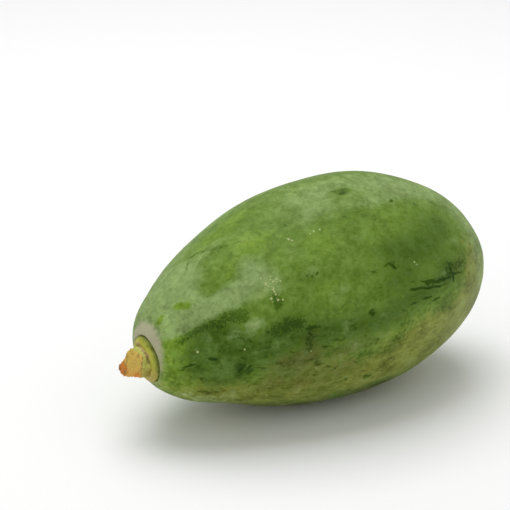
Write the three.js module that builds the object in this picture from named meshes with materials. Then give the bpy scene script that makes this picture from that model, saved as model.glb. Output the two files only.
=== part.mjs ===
// An unripe papaya, picked and lying on its side: the fruit, and the stub of stalk left on it.
// Millimetres, +Z up. The origin is the middle of the small flat spot that the fruit rests on,
// and the stalk points along -X.
//
// The fruit is worked out in its own frame first: x runs along the core from the stalk end (-)
// to the blossom end (+), and "around" is the angle about it, 0 at +Y and 90 degrees on top.

import * as THREE from "three";
import { mergeVertices } from "three/addons/utils/BufferGeometryUtils.js";

const degrees = THREE.MathUtils.degToRad;
const { lerp, smoothstep } = THREE.MathUtils;

// Driving dimensions of the fruit
const HALF_LENGTH = 120;
const HALF_WIDTH = 67.7;
// How the half width swells or narrows along the core: a polynomial in the cosine of the polar
// angle, which is 1 at the stalk end and -1 at the blossom end.
const EGG_SWELL = [1, -0.141, -0.14, 0.006, 0.121];
const OVALNESS = -0.02;
const CORE_BEND = { side: 3.8, up: 4.8 };
const CORE_SKEW = { side: 4.9, up: 0.4 };

// Five carpels grow as five broad faces with a soft ridge between each two
const CARPELS = 5;
const RIDGE_MIDDLE = 0.012;
const RIDGE_STALK_END = 0.016;
const RIDGE_BLOSSOM_END = 0.012;
const RIDGE_ON_TOP = degrees(90);

// The stalk end is levelled, with a shallow basin that the stalk stands in
const STALK_END = 116.2;
const BASIN_DEPTH = 3.9;
const BASIN_FLOOR_RADIUS = 12.8;
const BASIN_RIM_RADIUS = 15.4;
const SHOULDER_ROUNDING = 7;
const SHARPEST = 0.01;

// The blossom end carries a low nub with the scar of the flower in it
const NUB = { height: 1.9, reach: 9.5 };
const SCAR = { depth: 1.1, reach: 2.6, creases: 0.35 };

// Hand-set unevenness: x and around say where, reach how wide, height how far it stands out
const SWELLINGS = [
  { x: -110, around: 246, reach: 12, height: 0.8 },
  { x: -94, around: 247, reach: 11, height: 1.0 },
  { x: -74, around: 243, reach: 15, height: -2.3 },
  { x: -37, around: 238, reach: 13, height: 0.5 },
  { x: -60, around: 45, reach: 16, height: -0.5 },
  { x: 2, around: 78, reach: 18, height: -0.9 },
  { x: 56, around: 76, reach: 24, height: 1.2 },
  { x: 72, around: 219, reach: 24, height: -1.2 },
  { x: 106, around: 146, reach: 16, height: -0.9 },
  { x: -84, around: 150, reach: 16, height: 0.8 },
  { x: -48, around: 186, reach: 20, height: -0.9 },
  { x: 16, around: 126, reach: 22, height: -0.7 },
  { x: 62, around: 172, reach: 24, height: 0.7 },
  { x: -20, around: 330, reach: 26, height: 1.1 },
  { x: 40, around: 300, reach: 24, height: -0.9 },
];

// How it lies: the slimmer stalk end dips, and its own weight presses a small flat spot
const DIP = degrees(4.6);
const PRESSED_IN = 0.6;

// The stalk: a collar left by the calyx, a short neck, and a slanting break
const SEAT_GAP = 0.3;
const NECK_RADIUS = 9;
const COLLAR = [
  // out from the seat, radius, share of the calyx lobes
  [0, 11.4, 0],
  [1.1, 12.2, 0.3],
  [2.5, 12.5, 0.7],
  [3.8, 12.2, 1],
  [4.7, 11.4, 1],
  [5.1, 10.5, 1],
  [4.8, 9.7, 0.6],
  [4.4, 9.25, 0.2],
  [5.0, 9.05, 0],
];
const CALYX_LOBE = { out: 0.45, wide: 0.3 };
const BREAK_DISTANCE = 125.4; // from the fruit's middle to the break, along the core
const BREAK_SLANT = degrees(26);
const BREAK_FACES = degrees(153); // the side on which the stub is shortest
const BREAK_DISH = 0.9;
// The broken end is a rounded polygon: the radius of each corner at its angle around the core
const BREAK_CORNERS = [
  [76, 8.7],
  [113, 10.4],
  [151, 8.6],
  [203, 11.4],
  [217, 10.6],
  [309, 9.5],
  [338, 8.2],
];
const CORNER_ROUNDING = degrees(9);

// How finely each surface is divided
const FRUIT_COLUMNS = 80;
const FRUIT_ROWS = 46;
const BASIN_ROWS = 6;
const STALK_COLUMNS = 48;
const NECK_ROWS = 8;

const SKIN = { color: 0x5c8a3a, roughness: 0.45, metalness: 0 };
const STALK = { color: 0xb5a04a, roughness: 0.7, metalness: 0 };

/** A soft maximum: the larger of a and b, with the corner between them rounded over a width. */
function softMax(a, b, width) {
  const h = Math.max(width - Math.abs(a - b), 0) / width;
  return Math.max(a, b) + (h * h * width) / 4;
}

/** The polynomial with the given coefficients, lowest power first. */
function polynomial(coefficients, t) {
  return coefficients.reduceRight((sum, k) => sum * t + k, 0);
}

/** A hump of height 1 that fades to nothing in about two reaches. */
function hump(distance, reach) {
  return Math.exp(-((distance / reach) ** 2));
}

/** How far the ridges stand out, as a share of the radius, for a polar cosine. */
function ridgeHeight(cosine) {
  const atEnd = cosine > 0 ? RIDGE_STALK_END : RIDGE_BLOSSOM_END;
  return lerp(RIDGE_MIDDLE, atEnd, cosine * cosine);
}

/** The height of all the hand-set swellings at one place on the skin. */
function unevenness(x, around) {
  let height = 0;
  for (const s of SWELLINGS) {
    const turn = around - degrees(s.around);
    const across = HALF_WIDTH * Math.atan2(Math.sin(turn), Math.cos(turn));
    height += s.height * hump(Math.hypot(x - s.x, across), s.reach);
  }
  return height;
}

/** The depth of the levelled stalk end at a distance from the core. */
function stalkEndLevel(radius) {
  const climb = smoothstep(radius, BASIN_FLOOR_RADIUS, BASIN_RIM_RADIUS);
  return -STALK_END + BASIN_DEPTH * (1 - climb);
}

/** The skin at a polar angle from the stalk end and an angle around the core. */
function skinPoint(polar, around) {
  const c = Math.cos(polar);
  const s = Math.sin(polar);
  const ridges = ridgeHeight(c) * Math.cos(CARPELS * (around - RIDGE_ON_TOP));
  const oval = OVALNESS * Math.cos(2 * (around - RIDGE_ON_TOP));
  const eggRadius = HALF_WIDTH * s * polynomial(EGG_SWELL, c);
  const radius = eggRadius * (1 + ridges + oval) + s * s * unevenness(-HALF_LENGTH * c, around);

  let x = -HALF_LENGTH * c;
  if (c > 0) {
    // The shoulder is rounded off from the rim outwards, and the basin's floor stays level
    const rounding = SHOULDER_ROUNDING * smoothstep(eggRadius, BASIN_FLOOR_RADIUS, BASIN_RIM_RADIUS);
    x = softMax(x, stalkEndLevel(eggRadius), Math.max(rounding, SHARPEST));
  } else {
    const star = 1 - SCAR.creases * Math.cos(CARPELS * around);
    x += NUB.height * hump(radius, NUB.reach) - SCAR.depth * star * hump(radius, SCAR.reach);
  }
  const y = radius * Math.cos(around) + (CORE_BEND.side + CORE_SKEW.side * c) * s * s;
  const z = radius * Math.sin(around) + (CORE_BEND.up + CORE_SKEW.up * c) * s * s;
  return new THREE.Vector3(x, y, z);
}

/** A ring of points, one for each column. */
function ring(columns, pointAt) {
  return Array.from({ length: columns }, (_, j) => pointAt((2 * Math.PI * j) / columns));
}

/** A closed surface through rings that share one number of columns, with a point at each end. */
function closedSurface(first, rings, last) {
  const columns = rings[0].length;
  const points = [first, ...rings.flat(), last];
  const lastIndex = points.length - 1;
  const at = (row, column) => 1 + row * columns + (column % columns);
  const faces = [];
  for (let j = 0; j < columns; j++) {
    faces.push(0, at(0, j + 1), at(0, j));
    for (let i = 0; i + 1 < rings.length; i++) {
      faces.push(at(i, j), at(i + 1, j + 1), at(i + 1, j));
      faces.push(at(i, j), at(i, j + 1), at(i + 1, j + 1));
    }
    faces.push(lastIndex, at(rings.length - 1, j), at(rings.length - 1, j + 1));
  }
  const geometry = new THREE.BufferGeometry().setFromPoints(points);
  geometry.setIndex(faces);
  return mergeVertices(geometry);
}

/** The polar angle at which the plain egg has this radius, near the stalk end. */
function polarAtRadius(radius) {
  const endWidth = HALF_WIDTH * polynomial(EGG_SWELL, 1);
  return Math.asin(radius / endWidth);
}

/** The whole fruit in its own frame. */
function fruitGeometry() {
  const polars = [];
  const floorEdge = polarAtRadius(BASIN_FLOOR_RADIUS);
  const rim = polarAtRadius(BASIN_RIM_RADIUS + 2);
  polars.push(floorEdge * 0.5);
  for (let i = 0; i < BASIN_ROWS; i++) polars.push(lerp(floorEdge, rim, i / BASIN_ROWS));
  for (let i = 0; i <= FRUIT_ROWS; i++) {
    // Rows close up a little towards the blossom end, where the scar needs them
    const t = i / (FRUIT_ROWS + 1);
    polars.push(lerp(rim, Math.PI, t + 0.035 * Math.sin(Math.PI * t)));
  }
  polars.push(Math.PI * 0.988, Math.PI * 0.994);
  polars.sort((a, b) => a - b);
  const rings = polars.map((polar) => ring(FRUIT_COLUMNS, (around) => skinPoint(polar, around)));
  return closedSurface(skinPoint(0, 0), rings, skinPoint(Math.PI, 0));
}

/** Presses every point that would be below the surface it lies on up to that surface. */
function pressFlat(geometry) {
  const position = geometry.attributes.position;
  for (let i = 0; i < position.count; i++) {
    if (position.getZ(i) < 0) position.setZ(i, 0);
  }
  return geometry;
}

/** The radius at an angle on the straight side between two corners given in polar form. */
function sideRadius([startAngle, startRadius], [endAngle, endRadius], angle) {
  const toEnd = Math.sin(degrees(endAngle - angle));
  const toStart = Math.sin(degrees(angle - startAngle));
  const span = Math.sin(degrees(endAngle - startAngle));
  return (startRadius * endRadius * span) / (startRadius * toEnd + endRadius * toStart);
}

/** The radius of the sharp-cornered polygon at an angle around the core. */
function polygonRadius(around) {
  const turn = (THREE.MathUtils.radToDeg(around) + 360) % 360;
  const after = BREAK_CORNERS.findIndex(([angle]) => angle > turn);
  if (after > 0) return sideRadius(BREAK_CORNERS[after - 1], BREAK_CORNERS[after], turn);
  const [firstAngle, firstRadius] = BREAK_CORNERS[0];
  const pastLast = after === 0 ? turn + 360 : turn;
  return sideRadius(BREAK_CORNERS.at(-1), [firstAngle + 360, firstRadius], pastLast);
}

/** The broken end's radius, its corners rounded by averaging over a few degrees. */
function brokenRadius(around) {
  const offsets = [-1, -0.5, 0, 0.5, 1];
  const sum = offsets.reduce((total, k) => total + polygonRadius(around + k * CORNER_ROUNDING), 0);
  return sum / offsets.length;
}

/** The stalk in the fruit's frame: collar, neck and broken end. */
function stalkGeometry() {
  const seat = -(STALK_END - BASIN_DEPTH + SEAT_GAP);
  const breakAt = (radius, around) =>
    -BREAK_DISTANCE + Math.tan(BREAK_SLANT) * radius * Math.cos(around - BREAK_FACES);
  const place = (x, radius, around) =>
    new THREE.Vector3(x, radius * Math.cos(around), radius * Math.sin(around));

  const rings = COLLAR.map(([out, radius, lobes]) =>
    ring(STALK_COLUMNS, (around) => {
      const lobe = lobes * Math.cos(CARPELS * around);
      return place(seat - out - CALYX_LOBE.out * lobe, radius + CALYX_LOBE.wide * lobe, around);
    }),
  );
  const [neckOut] = COLLAR.at(-1);
  for (let i = 1; i <= NECK_ROWS; i++) {
    const t = i / NECK_ROWS;
    rings.push(
      ring(STALK_COLUMNS, (around) => {
        const radius = lerp(NECK_RADIUS, brokenRadius(around), smoothstep(t, 0, 1));
        return place(lerp(seat - neckOut, breakAt(radius, around), t), radius, around);
      }),
    );
  }
  for (const share of [0.93, 0.7, 0.36]) {
    rings.push(
      ring(STALK_COLUMNS, (around) => {
        const radius = share * brokenRadius(around);
        return place(breakAt(radius, around) + BREAK_DISH * (1 - share * share), radius, around);
      }),
    );
  }
  const seatMiddle = place(seat, 0, 0);
  const breakMiddle = place(-BREAK_DISTANCE + BREAK_DISH, 0, 0);
  return closedSurface(breakMiddle, rings.reverse(), seatMiddle);
}

/** The lowest point of a geometry. */
function lowestPoint(geometry) {
  const position = geometry.attributes.position;
  const lowest = new THREE.Vector3(0, 0, Infinity);
  const point = new THREE.Vector3();
  for (let i = 0; i < position.count; i++) {
    point.fromBufferAttribute(position, i);
    if (point.z < lowest.z) lowest.copy(point);
  }
  return lowest;
}

/** The turn and shift that lay the fruit down, its flat spot's middle at the origin. */
function laying(geometry) {
  const dip = new THREE.Matrix4().makeRotationY(-DIP);
  const lowest = lowestPoint(geometry.clone().applyMatrix4(dip));
  return new THREE.Matrix4().makeTranslation(-lowest.x, -lowest.y, -lowest.z - PRESSED_IN).multiply(dip);
}

const fruitForm = fruitGeometry();
const laid = laying(fruitForm);

const fruit = new THREE.Mesh(pressFlat(fruitForm.applyMatrix4(laid)), new THREE.MeshStandardMaterial(SKIN));
fruit.name = "fruit";

const stalk = new THREE.Mesh(stalkGeometry(), new THREE.MeshStandardMaterial(STALK));
stalk.name = "stalk";
stalk.applyMatrix4(laid);

const papaya = new THREE.Group();
papaya.add(fruit, stalk);

export default papaya;
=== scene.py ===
# %% [markdown]
# # An unripe papaya, on its side
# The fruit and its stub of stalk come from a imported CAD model, whose solids have the true size
# and form. This script gives them their looks: a finer skin with small dents and ripples,
# a procedural finish that is mottled, waxy and scuffed as a picked green papaya is, specks of
# dried latex, and a stalk that is fibrous where it broke. Everything is in metres, +Z up,
# with the stalk towards -X.

import math

import bmesh
import bpy
import numpy as np
from mathutils import Euler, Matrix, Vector
from mathutils.bvhtree import BVHTree


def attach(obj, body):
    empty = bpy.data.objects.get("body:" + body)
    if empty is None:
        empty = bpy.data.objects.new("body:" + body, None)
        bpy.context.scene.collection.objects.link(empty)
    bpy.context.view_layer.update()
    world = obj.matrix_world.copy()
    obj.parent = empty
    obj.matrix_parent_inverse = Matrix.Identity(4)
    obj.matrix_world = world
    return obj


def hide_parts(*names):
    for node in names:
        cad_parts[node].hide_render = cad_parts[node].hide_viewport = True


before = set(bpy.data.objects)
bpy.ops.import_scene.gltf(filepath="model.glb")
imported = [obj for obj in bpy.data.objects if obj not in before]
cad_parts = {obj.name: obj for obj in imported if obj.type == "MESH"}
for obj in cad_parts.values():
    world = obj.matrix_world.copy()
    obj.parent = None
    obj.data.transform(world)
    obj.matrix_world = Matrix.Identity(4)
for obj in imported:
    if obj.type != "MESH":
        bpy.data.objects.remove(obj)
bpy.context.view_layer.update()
MM = 0.001

# %% [markdown]
# ## The fruit's own frame
# A papaya is grown round a core, so its marks are easiest to place by how far along the core
# they are and how far round it. The core runs from the stalk at -X to the blossom end at +X,
# dips a little towards the stalk, and "around" is 0 degrees at +Y and 90 degrees on top.

# %% The core's middle and dip, and where a point is about it
CORE_MIDDLE = Vector((-2.20, -3.91, 59.92)) * MM
DIP = math.radians(4.6)
lie = Euler((0, -DIP, 0)).to_matrix()


def in_fruit_mm(points):
    """An array of points in metres, in the fruit's own frame and in millimetres."""
    return (points - np.array(CORE_MIDDLE)) @ np.array(lie) / MM


print("the origin is at", in_fruit_mm(np.zeros(3)).round(1), "in the fruit's frame, in mm")

# %% [markdown]
# ## Camera
# The photograph looks along the stalk's left side, from 23 degrees above, with a long lens.
# The camera stands at that angle from the fruit's centre, and is then turned a little so that
# the fruit falls right of and below the middle of the frame, as it does there. Turning it
# needs no lens shift, so other views stay centred.

# %% Camera
PHOTO_SIDE = 510
SENSOR_WIDTH = 36
CENTRE_IN_PHOTO = (316.5, 289.8)
FOCAL_PIXELS = 1768.6
DISTANCE = 1.08
AZIMUTH = math.radians(-34.31)
ELEVATION = math.radians(23.09)
FRUIT_CENTRE = Vector((4.12, -1.01, 64.32)) * MM

camera = bpy.data.objects.new("camera", bpy.data.cameras.new("camera"))
bpy.context.scene.collection.objects.link(camera)
bpy.context.scene.camera = camera
camera.data.sensor_width = SENSOR_WIDTH
camera.data.lens = SENSOR_WIDTH * FOCAL_PIXELS / PHOTO_SIDE
back = Vector(
    (
        math.sin(AZIMUTH) * math.cos(ELEVATION),
        -math.cos(AZIMUTH) * math.cos(ELEVATION),
        math.sin(ELEVATION),
    )
)
right_of_middle = CENTRE_IN_PHOTO[0] - PHOTO_SIDE / 2
below_middle = CENTRE_IN_PHOTO[1] - PHOTO_SIDE / 2
towards_fruit = Vector((right_of_middle, -below_middle, -FOCAL_PIXELS))
aside = towards_fruit.rotation_difference(Vector((0, 0, -1)))
camera.location = FRUIT_CENTRE + back * DISTANCE
camera.rotation_mode = "QUATERNION"
camera.rotation_quaternion = (-back).to_track_quat("-Z", "Y") @ aside
print("lens:", round(camera.data.lens, 1), "mm")

# %% [markdown]
# ## Floor and light
# A white table and broad soft lights, as in a product photograph: a large light overhead and
# a little behind, a weaker one from the camera's left, and white all round that the waxy skin
# reflects along its edges.

# %% Floor and light
FLOOR_SIDE = 12.0
FLOOR_WHITE = (0.92, 0.92, 0.92, 1)
WHITE = (1.0, 1.0, 1.0, 1)
SURROUND_STRENGTH = 0.58


def new_material(name):
    """A material whose nodes start from one Principled BSDF and its output."""
    made = bpy.data.materials.new(name)
    made.use_nodes = True
    return made, made.node_tree, made.node_tree.nodes["Principled BSDF"]


floor_mesh = bpy.data.meshes.new("floor")
half = FLOOR_SIDE / 2
floor_corners = [(-half, -half, 0), (half, -half, 0), (half, half, 0), (-half, half, 0)]
floor_mesh.from_pydata(floor_corners, [], [(0, 1, 2, 3)])
floor = bpy.data.objects.new("floor", floor_mesh)
bpy.context.scene.collection.objects.link(floor)
floor_finish, _, floor_surface = new_material("white_table")
floor_surface.inputs["Base Color"].default_value = FLOOR_WHITE
floor_surface.inputs["Roughness"].default_value = 0.9
floor_surface.inputs["Specular IOR Level"].default_value = 0.1
floor_mesh.materials.append(floor_finish)


def soft_light(name, place, size, power):
    """A square area light at a place, facing the fruit."""
    data = bpy.data.lights.new(name, "AREA")
    data.size = size
    data.energy = power
    lamp = bpy.data.objects.new(name, data)
    bpy.context.scene.collection.objects.link(lamp)
    lamp.location = place
    lamp.rotation_euler = (FRUIT_CENTRE - Vector(place)).to_track_quat("-Z", "Y").to_euler()
    print(name, "gives", power, "W from a square of", size, "m")


soft_light("overhead", place=(0.1, 0.45, 1.7), size=1.4, power=19)
soft_light("left_of_camera", place=(-1.9, -0.5, 0.9), size=1.2, power=4)

world = bpy.data.worlds.new("white_studio")
bpy.context.scene.world = world
world.use_nodes = True
world.node_tree.nodes["Background"].inputs["Color"].default_value = WHITE
world.node_tree.nodes["Background"].inputs["Strength"].default_value = SURROUND_STRENGTH
bpy.context.scene.view_settings.view_transform = "Standard"

# %% [markdown]
# ## The skin's mesh
# The solid has flat facets several millimetres wide. A copy of it is merged, its triangles are
# paired back into quads, and two levels of Subdivision Surface make it smooth. That keeps the
# solid's form and leaves room for finer relief. Sculpting it anew would only risk drifting
# away from the solid.

# %% A fine, smooth copy of a solid
SMOOTHING_LEVELS = 2
MERGE_DISTANCE = 0.01 * MM
QUAD_ANGLE = math.radians(40)
SHARP = math.radians(38)


def evaluated_copy(piece, name):
    """The piece's mesh with its modifiers applied, as a new plain object at the origin."""
    graph = bpy.context.evaluated_depsgraph_get()
    mesh = bpy.data.meshes.new_from_object(piece.evaluated_get(graph))
    mesh.name = name
    plain = bpy.data.objects.new(name, mesh)
    bpy.context.scene.collection.objects.link(plain)
    for polygon in mesh.polygons:
        polygon.use_smooth = True
    return plain


def fine_copy(node, name, crease=0.0):
    """A subdivided copy of a CAD node, as a plain object. A crease keeps its sharp edges crisp."""
    shell = bmesh.new()
    shell.from_mesh(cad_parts[node].data)
    bmesh.ops.remove_doubles(shell, verts=shell.verts, dist=MERGE_DISTANCE)
    bmesh.ops.join_triangles(
        shell,
        faces=shell.faces,
        angle_face_threshold=QUAD_ANGLE,
        angle_shape_threshold=QUAD_ANGLE,
        cmp_seam=False,
        cmp_sharp=False,
        cmp_uvs=False,
        cmp_vcols=False,
        cmp_materials=False,
    )
    creases = shell.edges.layers.float.new("crease_edge")
    for edge in shell.edges:
        if edge.calc_face_angle(0) > SHARP:
            edge[creases] = crease
    mesh = bpy.data.meshes.new(name + "_cage")
    shell.to_mesh(mesh)
    shell.free()
    mesh.materials.clear()
    for stale in [a.name for a in mesh.attributes if a.name.startswith("custom_normal")]:
        mesh.attributes.remove(mesh.attributes[stale])
    cage = bpy.data.objects.new(name + "_cage", mesh)
    bpy.context.scene.collection.objects.link(cage)
    rounding = cage.modifiers.new("round", "SUBSURF")
    rounding.levels = rounding.render_levels = SMOOTHING_LEVELS
    made = evaluated_copy(cage, name)
    bpy.data.objects.remove(cage)
    print(name, "has", len(made.data.polygons), "faces")
    return made


smooth_fruit = fine_copy("fruit", "smooth_fruit")

# %% [markdown]
# ## Relief by Geometry Nodes
# The real skin isn't an even shell: it has shallow dents as wide as a thumb, long ripples that
# run along the core, and a fine unevenness that breaks up its shine. Each is a noise, so a
# Geometry Nodes tree adds them along the normals, with a size and a depth for each as its
# inputs. The relief fades out on the flat resting spot and in the stalk's basin, where the
# fruit has to keep its place.

# %% Helpers for node trees
def feed(tree, socket, given):
    """Links an input to another node's output, or sets its value."""
    if isinstance(given, bpy.types.NodeSocket):
        tree.links.new(given, socket)
    else:
        socket.default_value = given


def add(tree, kind, **settings):
    """A new node with its settings. What its inputs are fed is given as in0, in1 and so on."""
    made = tree.nodes.new(kind)
    for key, value in settings.items():
        if key.startswith("in") and key[2:].isdigit():
            feed(tree, made.inputs[int(key[2:])], value)
        else:
            setattr(made, key, value)
    return made


def maths(tree, operation, a, b=0.0):
    """The output of a Math node."""
    return add(tree, "ShaderNodeMath", operation=operation, in0=a, in1=b).outputs[0]


def vector_maths(tree, operation, a, b=(0, 0, 0), output=0):
    """An output of a Vector Math node: 0 is its vector and 1 its value."""
    return add(tree, "ShaderNodeVectorMath", operation=operation, in0=a, in1=b).outputs[output]


def scaled(tree, vector, factor):
    """A vector times a number or a number socket."""
    made = add(tree, "ShaderNodeVectorMath", operation="SCALE", in0=vector)
    feed(tree, made.inputs["Scale"], factor)
    return made.outputs[0]


def fade(tree, value, start, end):
    """0 up to start, 1 from end, and smooth between them. start may be the larger one."""
    made = add(tree, "ShaderNodeMapRange", interpolation_type="SMOOTHSTEP", in0=value, in1=start, in2=end)
    return made.outputs[0]


def noise(tree, vector, scale, detail=2.0, roughness=0.5, distortion=0.0):
    """The value of a noise texture. scale is in features for each unit that the vector counts in."""
    made = add(tree, "ShaderNodeTexNoise")
    feed(tree, made.inputs["Vector"], vector)
    feed(tree, made.inputs["Scale"], scale)
    feed(tree, made.inputs["Detail"], detail)
    feed(tree, made.inputs["Roughness"], roughness)
    feed(tree, made.inputs["Distortion"], distortion)
    return made.outputs[0]


def swing(tree, value, amount):
    """A noise's value turned into a swing of plus or minus half the amount."""
    return maths(tree, "MULTIPLY", maths(tree, "SUBTRACT", value, 0.5), amount)


def total(tree, *values):
    """The sum of several numbers."""
    summed = values[0]
    for value in values[1:]:
        summed = maths(tree, "ADD", summed, value)
    return summed


print("node helpers are ready")

# %% A Geometry Nodes tree and a modifier that uses it
def new_tree(name, sizes):
    """A tree with inputs for its geometry, sizes and finish, and the sockets at its two ends."""
    tree = bpy.data.node_groups.new(name, "GeometryNodeTree")
    tree.interface.new_socket("Geometry", in_out="INPUT", socket_type="NodeSocketGeometry")
    for label, (kind, value) in sizes.items():
        socket = tree.interface.new_socket(label, in_out="INPUT", socket_type="NodeSocket" + kind)
        socket.default_value = value
    tree.interface.new_socket("Finish", in_out="INPUT", socket_type="NodeSocketMaterial")
    tree.interface.new_socket("Geometry", in_out="OUTPUT", socket_type="NodeSocketGeometry")
    entry = tree.nodes.new("NodeGroupInput")
    result = tree.nodes.new("NodeGroupOutput")
    return tree, entry.outputs, result.inputs[0]


def end_tree(tree, geometry, finish, result):
    """Realize Instances and Set Material, as the export needs."""
    real = add(tree, "GeometryNodeRealizeInstances", in0=geometry)
    dressed = add(tree, "GeometryNodeSetMaterial", in0=real.outputs[0], in2=finish)
    tree.links.new(dressed.outputs[0], result)


def grow(base, tree, name, finish):
    """Runs a tree on a base object and keeps the result as a plain mesh object of that name."""
    modifier = base.modifiers.new(tree.name, "NODES")
    modifier.node_group = tree
    for item in tree.interface.items_tree:
        if item.name == "Finish":
            modifier[item.identifier] = finish
    made = evaluated_copy(base, name)
    base.modifiers.remove(modifier)
    print(name, "has", len(made.data.polygons), "faces")
    return made


print("tree helpers are ready")

# %% Relief tree: noises along the normals, kept off the resting spot and the stalk
def noise_relief(tree, place, layers):
    """The sum of several noises, each given as (size socket, depth socket, stretch along the core)."""
    heights = []
    for size, depth, stretch in layers:
        stretched = vector_maths(tree, "MULTIPLY", place, (1 / stretch, 1, 1))
        heights.append(swing(tree, noise(tree, stretched, maths(tree, "DIVIDE", 1, size)), depth))
    return total(tree, *heights)


def core_space(tree, place):
    """A position turned and moved into the fruit's own frame, still in metres."""
    moved = vector_maths(tree, "SUBTRACT", place, tuple(CORE_MIDDLE))
    turned = add(tree, "ShaderNodeVectorRotate", rotation_type="EULER_XYZ", invert=True)
    feed(tree, turned.inputs["Vector"], moved)
    feed(tree, turned.inputs["Rotation"], (0, -DIP, 0))
    return turned.outputs[0]


def off_core(tree, place):
    """How far a place is from the core's line."""
    return vector_maths(tree, "LENGTH", vector_maths(tree, "MULTIPLY", place, (0, 1, 1)), output=1)


# metres: the relief starts above this height, and from this far along the core no basin is spared
STILL_HEIGHT = 0.0003
PAST_BASIN = (0.05, 0.09)


def skin_relief_tree():
    """Dents, ripples and grain, none of them at the foot or in the stalk's basin."""
    sizes = {
        "Dent size": ("Float", 0.034),
        "Dent depth": ("Float", 0.0016),
        "Ripple size": ("Float", 0.011),
        "Ripple depth": ("Float", 0.0005),
        "Grain size": ("Float", 0.0034),
        "Grain depth": ("Float", 0.00012),
        "Seed": ("Vector", (1.7, 4.1, 2.3)),
        "Foot fade": ("Float", 0.007),
        "Basin radius": ("Float", 0.016),
        "Basin fade": ("Float", 0.03),
    }
    tree, given, result = new_tree("skin_relief", sizes)
    position = add(tree, "GeometryNodeInputPosition").outputs[0]
    place = core_space(tree, position)
    drawn = vector_maths(tree, "ADD", place, given["Seed"])
    height = noise_relief(
        tree,
        drawn,
        [
            (given["Dent size"], given["Dent depth"], 1.3),
            (given["Ripple size"], given["Ripple depth"], 4.0),
            (given["Grain size"], given["Grain depth"], 1.0),
        ],
    )
    height_above = add(tree, "ShaderNodeSeparateXYZ", in0=position).outputs[2]
    off_floor = fade(tree, height_above, STILL_HEIGHT, given["Foot fade"])
    apart = add(tree, "ShaderNodeSeparateXYZ", in0=place)
    blossom_half = fade(tree, apart.outputs[0], *PAST_BASIN)
    off_basin = fade(tree, off_core(tree, place), given["Basin radius"], given["Basin fade"])
    kept = maths(tree, "MULTIPLY", off_floor, maths(tree, "MAXIMUM", off_basin, blossom_half))
    normal = add(tree, "GeometryNodeInputNormal").outputs[0]
    shift = scaled(tree, normal, maths(tree, "MULTIPLY", height, kept))
    moved = add(tree, "GeometryNodeSetPosition", in0=given["Geometry"], in3=shift)
    end_tree(tree, moved.outputs[0], given["Finish"], result)
    return tree


skin_finish, skin_nodes, skin_surface = new_material("green_papaya_skin")
skin = grow(smooth_fruit, skin_relief_tree(), "skin", skin_finish)
bpy.data.objects.remove(smooth_fruit)

# %% Places on the finished skin, from x along the core and degrees around it
corners = [vertex.co for vertex in skin.data.vertices]
skin_tree = BVHTree.FromPolygons(corners, [polygon.vertices for polygon in skin.data.polygons])


def on_skin(x, around):
    """The skin's point, in fruit mm, at x mm along the core and a turn around it."""
    turn = math.radians(around)
    outward = Vector((0, math.cos(turn), math.sin(turn)))
    hit = skin_tree.ray_cast(CORE_MIDDLE + lie @ Vector((x * MM, 0, 0)), lie @ outward)
    return Vector((x, 0, 0)) + outward * (hit[3] / MM)


print("top of the skin at mid core:", [round(v, 1) for v in on_skin(0, 90)])

# %% [markdown]
# ## Scuffs
# The marks that catch the eye are a bundle of dark scratches towards the blossom end, nicks
# here and there, and a faint fold on top near the stalk. They are shallow grooves. A bump map
# would leave the mesh flat there, so they are made in the mesh: its faces are cut finer along
# each stroke, and every vertex gets a depth, which is the stroke's strength on its line and 0
# at its edge. The finish later darkens the same strokes. Both ends are given: (mm along the
# core, degrees around), then the stroke's half width in mm and its strength.

# %% Where the scuffs are
SCRATCHES = [
    ((28, 161.6), (37, 163.4), 1.3, 1.0),
    ((36, 163.2), (46, 165.2), 1.3, 1.0),
    ((44, 165), (52, 166), 1.1, 1.0),
    ((51, 166), (59, 166.6), 0.8, 0.7),
    ((36, 159.4), (44, 161.4), 1.2, 0.7),
    ((41, 161), (50, 163), 1.9, 0.9),
    ((47, 162.8), (57, 163.3), 2.1, 1.0),
    ((55, 163), (64, 164.4), 1.5, 0.8),
    ((39, 160.4), (43, 163.6), 1.2, 0.8),
    ((32, 158.6), (44, 159.6), 0.8, 0.4),
    ((60, 161.5), (67, 163.6), 1.6, 1.0),
    ((65, 163.5), (73, 164.3), 1.3, 0.9),
    ((64, 162.5), (63, 167.4), 1.5, 1.0),
    ((61.5, 158.4), (63, 161), 1.8, 0.8),
    ((61, 156.3), (67, 157.2), 1.0, 0.6),
    ((66, 157.5), (71, 161.5), 1.0, 0.5),
    ((70, 157), (75, 162), 0.9, 0.4),
    ((36.5, 169.2), (43.5, 169.4), 1.4, 0.9),
    ((43, 171.8), (49.5, 171.9), 1.2, 0.8),
    ((53, 172), (53, 176.5), 0.8, 0.5),
    ((26, 165), (31.5, 166), 0.9, 0.4),
    ((26, 169.4), (32.5, 169), 1.3, 0.5),
    ((31, 152.3), (32, 153), 1.2, 0.6),
]
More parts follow.
